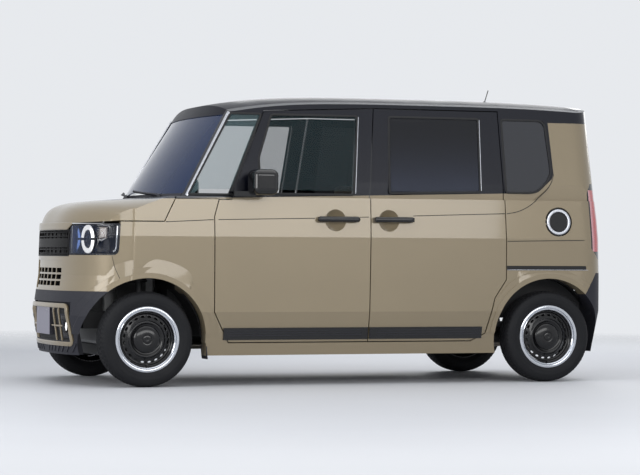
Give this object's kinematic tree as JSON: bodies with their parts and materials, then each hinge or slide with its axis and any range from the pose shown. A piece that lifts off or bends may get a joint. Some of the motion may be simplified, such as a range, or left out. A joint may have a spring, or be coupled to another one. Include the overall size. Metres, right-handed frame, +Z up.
{
  "type": "kei car",
  "caption": "Tall boxy kei car with sliding rear doors, round-eyed lamps, swinging front doors, opening bonnet, tailgate and fuel lid, and steered front wheels.",
  "frame": {"origin": "on the ground at the middle of the car's length and width", "axes": "+X to the front, +Y to the car's left, +Z up"},
  "size_m": [3.3884, 1.762, 1.8119],
  "materials": {
    "body_paint": "satin khaki paint",
    "roof_paint": "gloss black paint",
    "clear_glass": "clear",
    "dark_glass": "dark privacy tint",
    "lamp_glass": "clear lens",
    "red_lens": "red and clear lens",
    "black_plastic": "matt black plastic",
    "gloss_black": "gloss black plastic",
    "tyre_rubber": "black rubber",
    "wheel_steel": "black steel with a bright ring",
    "chassis_steel": "black chassis paint",
    "engine_metal": "cast",
    "exhaust_metal": "dull steel",
    "seat_fabric": "woven grey brown",
    "plate_white": "blank white plate",
    "wheel_grip": "grained black"
  },
  "bodies": {
    "body_shell": {"sliding_doors": "body_paint", "side_panel_left": "body_paint", "side_panel_right": "body_paint", "bumper_insert": "body_paint", "fender_left": "body_paint", "fender_right": "body_paint", "front_bumper": "body_paint", "roof_panel": "roof_paint", "quarter_glass": "clear_glass", "windscreen": "clear_glass", "sliding_door_glass": "dark_glass", "headlamps": "lamp_glass", "fog_lamps": "lamp_glass", "tail_lamps": "red_lens", "front_plate": "plate_white", "cowl": "black_plastic", "upper_grille": "black_plastic", "bumper_skirt": "black_plastic", "rear_bumper": "black_plastic", "dashboard": "black_plastic", "sliding_door_trim": "gloss_black", "aerial": "gloss_black", "front_struts": "chassis_steel", "front_subframe": "chassis_steel", "rear_axle": "chassis_steel", "floor_pan": "chassis_steel", "fuel_tank": "chassis_steel", "engine": "engine_metal", "exhaust": "exhaust_metal", "front_seats": "seat_fabric", "rear_seats": "seat_fabric"},
    "front_door_left_body": {"front_door_left": "body_paint", "front_door_left_glass": "clear_glass", "front_door_left_trim": "gloss_black"},
    "front_door_right_body": {"front_door_right": "body_paint", "front_door_right_glass": "clear_glass", "front_door_right_trim": "gloss_black"},
    "bonnet_body": {"bonnet": "body_paint"},
    "tailgate_body": {"tailgate": "body_paint", "tailgate_glass": "dark_glass", "rear_plate": "plate_white"},
    "fuel_lid_body": {"fuel_lid": "body_paint"},
    "knuckle_left_body": {"knuckle_left": "chassis_steel"},
    "knuckle_right_body": {"knuckle_right": "chassis_steel"},
    "wheel_front_left": {"tyre_front_left": "tyre_rubber", "rim_front_left": "wheel_steel"},
    "wheel_front_right": {"tyre_front_right": "tyre_rubber", "rim_front_right": "wheel_steel"},
    "wheel_rear_left": {"tyre_rear_left": "tyre_rubber", "rim_rear_left": "wheel_steel"},
    "wheel_rear_right": {"tyre_rear_right": "tyre_rubber", "rim_rear_right": "wheel_steel"},
    "steering_wheel_body": {"steering_wheel": "wheel_grip"}
  },
  "joints": [
    {"name": "front_door_left_hinge", "type": "hinge", "parent": "body_shell", "child": "front_door_left_body", "pos_m": [0.8, 0.716, 0.7], "axis": [0, 0, -1], "range_deg": [0, 70]},
    {"name": "front_door_right_hinge", "type": "hinge", "parent": "body_shell", "child": "front_door_right_body", "pos_m": [0.8, -0.716, 0.7], "axis": [0, 0, 1], "range_deg": [0, 70]},
    {"name": "bonnet_hinge", "type": "hinge", "parent": "body_shell", "child": "bonnet_body", "pos_m": [1.086, 0, 1.095], "axis": [0, -1, 0], "range_deg": [0, 50]},
    {"name": "tailgate_hinge", "type": "hinge", "parent": "body_shell", "child": "tailgate_body", "pos_m": [-1.545, 0, 1.703], "axis": [0, 1, 0], "range_deg": [0, 80]},
    {"name": "fuel_lid_hinge", "type": "hinge", "parent": "body_shell", "child": "fuel_lid_body", "pos_m": [-1.256, 0.71806, 0.971], "axis": [0, 0.0816, -0.9967], "range_deg": [0, 95]},
    {"name": "steer_left", "type": "hinge", "parent": "body_shell", "child": "knuckle_left_body", "pos_m": [1.247, 0.575, 0.178], "axis": [0, -0.136, 0.9907], "range_deg": [-35, 35]},
    {"name": "steer_right", "type": "hinge", "parent": "body_shell", "child": "knuckle_right_body", "pos_m": [1.247, -0.575, 0.178], "axis": [0, 0.136, 0.9907], "range_deg": [-35, 35]},
    {"name": "steering_wheel_turn", "type": "hinge", "parent": "body_shell", "child": "steering_wheel_body", "pos_m": [0.52, -0.3, 0.905], "axis": [-0.8829, 0, 0.4695], "range_deg": [-540, 540]},
    {"name": "wheel_front_left_spin", "type": "hinge", "parent": "knuckle_left_body", "child": "wheel_front_left", "pos_m": [1.247, 0.6525, 0.275], "axis": [0, 1, 0], "continuous": true},
    {"name": "wheel_front_right_spin", "type": "hinge", "parent": "knuckle_right_body", "child": "wheel_front_right", "pos_m": [1.247, -0.6525, 0.275], "axis": [0, 1, 0], "continuous": true},
    {"name": "wheel_rear_left_spin", "type": "hinge", "parent": "body_shell", "child": "wheel_rear_left", "pos_m": [-1.273, 0.6525, 0.275], "axis": [0, 1, 0], "continuous": true},
    {"name": "wheel_rear_right_spin", "type": "hinge", "parent": "body_shell", "child": "wheel_rear_right", "pos_m": [-1.273, -0.6525, 0.275], "axis": [0, 1, 0], "continuous": true}
  ],
  "couplings": [
    {"joint": "steer_right", "follows": "steer_left", "ratio": 1},
    {"joint": "steering_wheel_turn", "follows": "steer_left", "ratio": 15}
  ]
}
